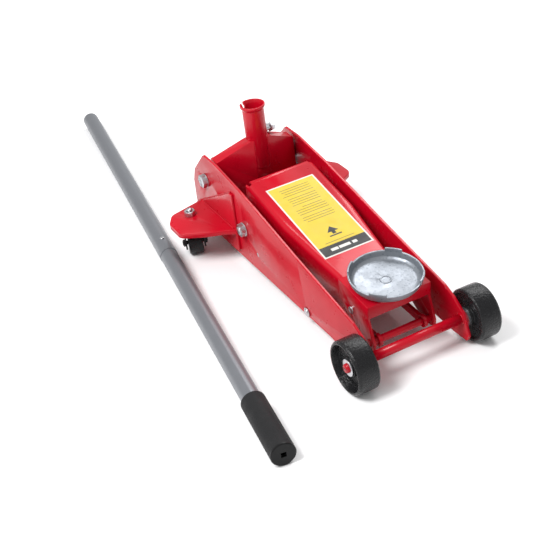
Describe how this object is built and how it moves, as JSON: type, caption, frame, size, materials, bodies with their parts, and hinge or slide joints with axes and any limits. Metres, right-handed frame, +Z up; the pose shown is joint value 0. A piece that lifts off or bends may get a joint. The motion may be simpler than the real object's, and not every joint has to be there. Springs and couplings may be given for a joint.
{
  "type": "trolley jack",
  "caption": "Low hydraulic trolley jack with a pivoting lift arm, levelled swivel saddle, swivel casters at the rear, pump yoke with a handle socket, and a detached tube handle beside it.",
  "frame": {"origin": "centre of the whole box's footprint, on the floor", "axes": "+X towards the saddle and the front wheels, +Y to the jack's left, +Z up"},
  "size_m": [1.323, 0.5086, 0.279],
  "materials": {
    "red_paint": "gloss red paint on pressed steel",
    "black_iron": "black paint on cast iron",
    "zinc_steel": "bright zinc plating",
    "machined_steel": "machined, oiled",
    "chromed_ram": "hard chrome",
    "cast_block": "as cast, oiled",
    "saddle_grey": "zinc-grey plating on a casting",
    "spring_steel": "oiled spring wire",
    "handle_paint": "satin metallic grey powder coat",
    "grip_rubber": "matt foam-like rubber",
    "cap_plastic": "moulded plastic",
    "label_film": "printed film"
  },
  "bodies": {
    "chassis": {"side_plate_left": "red_paint", "side_plate_right": "red_paint", "caster_bracket_left": "red_paint", "caster_bracket_right": "red_paint", "caster_studs": "zinc_steel", "caster_races": "zinc_steel", "caster_nuts": "zinc_steel", "front_axle": "red_paint", "axle_washers": "zinc_steel", "hub_caps": "zinc_steel", "cross_tie": "zinc_steel", "arm_pivot_shaft": "zinc_steel", "arm_pivot_nuts": "zinc_steel", "arm_spacers": "red_paint", "link_anchor_pins": "zinc_steel", "base_plate": "red_paint", "pump_block": "cast_block", "block_bolts": "zinc_steel", "reservoir_tube": "red_paint", "cylinder_barrel": "machined_steel", "cylinder_ring_nut": "machined_steel", "block_plugs": "zinc_steel", "yoke_pivot_bolts": "zinc_steel", "plunger_spring": "spring_steel", "return_springs": "spring_steel"},
    "lift_arm": {"lift_arm": "red_paint", "push_lugs": "red_paint", "push_pin": "machined_steel", "rating_label": "label_film", "arm_front_pin": "zinc_steel"},
    "saddle_bracket": {"saddle_bracket": "red_paint", "bracket_link_pin": "red_paint"},
    "saddle": {"saddle": "saddle_grey", "saddle_stem": "machined_steel"},
    "link_left": {"link_rod_left": "red_paint"},
    "link_right": {"link_rod_right": "red_paint"},
    "ram": {"ram": "chromed_ram", "ram_head": "machined_steel"},
    "front_wheel_left": {"front_wheel_left": "black_iron"},
    "front_wheel_right": {"front_wheel_right": "black_iron"},
    "caster_left": {"caster_fork_left": "black_iron", "caster_axle_left": "black_iron"},
    "caster_right": {"caster_fork_right": "black_iron", "caster_axle_right": "black_iron"},
    "caster_wheel_left": {"caster_wheel_left": "black_iron"},
    "caster_wheel_right": {"caster_wheel_right": "black_iron"},
    "yoke": {"handle_yoke": "red_paint", "handle_socket": "red_paint", "pump_roller": "machined_steel"},
    "clamp_screw": {"handle_clamp_screw": "zinc_steel"},
    "release_driver": {"release_driver": "machined_steel"},
    "release_link": {"release_link": "machined_steel"},
    "release_valve": {"release_valve_stem": "machined_steel"},
    "plunger": {"pump_plunger": "machined_steel"},
    "handle": {"handle_lower_tube": "handle_paint", "handle_upper_tube": "handle_paint", "handle_grip": "grip_rubber", "grip_end_cap": "cap_plastic", "button_spring": "spring_steel"},
    "spring_button": {"spring_button": "zinc_steel"}
  },
  "joints": [
    {"name": "arm_lift", "type": "hinge", "parent": "chassis", "child": "lift_arm", "pos_m": [0.14108, 0.06727, 0.088], "axis": [0, -1, 0], "range_deg": [0, 60], "deforming": ["return_springs"]},
    {"name": "bracket_level", "type": "hinge", "parent": "lift_arm", "child": "saddle_bracket", "pos_m": [0.46708, 0.06727, 0.074], "axis": [0, -1, 0], "range_deg": [-54, 0]},
    {"name": "saddle_turn", "type": "hinge", "parent": "saddle_bracket", "child": "saddle", "pos_m": [0.48258, 0.06727, 0.1118], "axis": [0.108, 0, 0.9942], "continuous": true},
    {"name": "link_left_swing", "type": "hinge", "parent": "chassis", "child": "link_left", "pos_m": [0.18632, 0.11127, 0.05389], "axis": [0, -1, 0], "range_deg": [0, 59.52]},
    {"name": "link_right_swing", "type": "hinge", "parent": "chassis", "child": "link_right", "pos_m": [0.18632, 0.02327, 0.05389], "axis": [0, -1, 0], "range_deg": [0, 59.52]},
    {"name": "ram_extend", "type": "slide", "parent": "chassis", "child": "ram", "axis": [1, 0, 0], "range_m": [0, 0.04493]},
    {"name": "front_wheel_left_spin", "type": "hinge", "parent": "chassis", "child": "front_wheel_left", "pos_m": [0.56608, 0.18402, 0.047], "axis": [0, 1, 0], "continuous": true},
    {"name": "front_wheel_right_spin", "type": "hinge", "parent": "chassis", "child": "front_wheel_right", "pos_m": [0.56608, -0.04948, 0.047], "axis": [0, 1, 0], "continuous": true},
    {"name": "caster_left_swivel", "type": "hinge", "parent": "chassis", "child": "caster_left", "pos_m": [0.00408, 0.20727, 0.0555], "axis": [0, 0, 1], "continuous": true},
    {"name": "caster_left_roll", "type": "hinge", "parent": "caster_left", "child": "caster_wheel_left", "pos_m": [0.01835, 0.20263, 0.024], "axis": [0.309, 0.9511, 0], "continuous": true},
    {"name": "caster_right_swivel", "type": "hinge", "parent": "chassis", "child": "caster_right", "pos_m": [0.00408, -0.07273, 0.0555], "axis": [0, 0, 1], "continuous": true},
    {"name": "caster_right_roll", "type": "hinge", "parent": "caster_right", "child": "caster_wheel_right", "pos_m": [0.01835, -0.07737, 0.024], "axis": [0.309, 0.9511, 0], "continuous": true},
    {"name": "pump_stroke", "type": "hinge", "parent": "chassis", "child": "yoke", "pos_m": [-0.00692, 0.06727, 0.128], "axis": [0, -1, 0], "range_deg": [0, 60], "deforming": ["plunger_spring"]},
    {"name": "plunger_stroke", "type": "slide", "parent": "chassis", "child": "plunger", "axis": [0, 0, 1], "range_m": [-0.0241, 0]},
    {"name": "release_turn", "type": "hinge", "parent": "yoke", "child": "release_driver", "pos_m": [0.05108, 0.06727, 0.156], "axis": [0, 0, 1], "range_deg": [0, 180]},
    {"name": "release_link_turn", "type": "hinge", "parent": "yoke", "child": "release_link", "pos_m": [-0.00092, 0.06727, 0.131], "axis": [0.9559, 0, 0.2936], "range_deg": [0, 180]},
    {"name": "release_valve_turn", "type": "hinge", "parent": "chassis", "child": "release_valve", "pos_m": [-0.00692, 0.06727, 0.128], "axis": [0, 0, 1], "range_deg": [0, 180]},
    {"name": "clamp_screw_travel", "type": "slide", "parent": "yoke", "child": "clamp_screw", "axis": [-0.2588, 0.9659, 0], "range_m": [0, 0.006]},
    {"name": "handle_pick_up", "type": "slide", "parent": "chassis", "child": "handle", "axis": [0, 0, 1], "range_m": [0, 0.4]},
    {"name": "button_press", "type": "slide", "parent": "handle", "child": "spring_button", "axis": [0.0031, -0.0005, -1], "range_m": [0, 0.003], "stiffness_N_per_m": 600, "springref_m": -0.002, "deforming": ["button_spring"]}
  ],
  "couplings": [
    {"joint": "bracket_level", "follows": "arm_lift", "ratio": -0.89667},
    {"joint": "link_left_swing", "follows": "arm_lift", "ratio": 0.99118},
    {"joint": "link_right_swing", "follows": "arm_lift", "ratio": 0.99118},
    {"joint": "ram_extend", "follows": "arm_lift", "m_per_rad": 0.042808},
    {"joint": "plunger_stroke", "follows": "pump_stroke", "m_per_rad": -0.022918},
    {"joint": "release_link_turn", "follows": "release_turn", "ratio": 1},
    {"joint": "release_valve_turn", "follows": "release_turn", "ratio": 1}
  ]
}
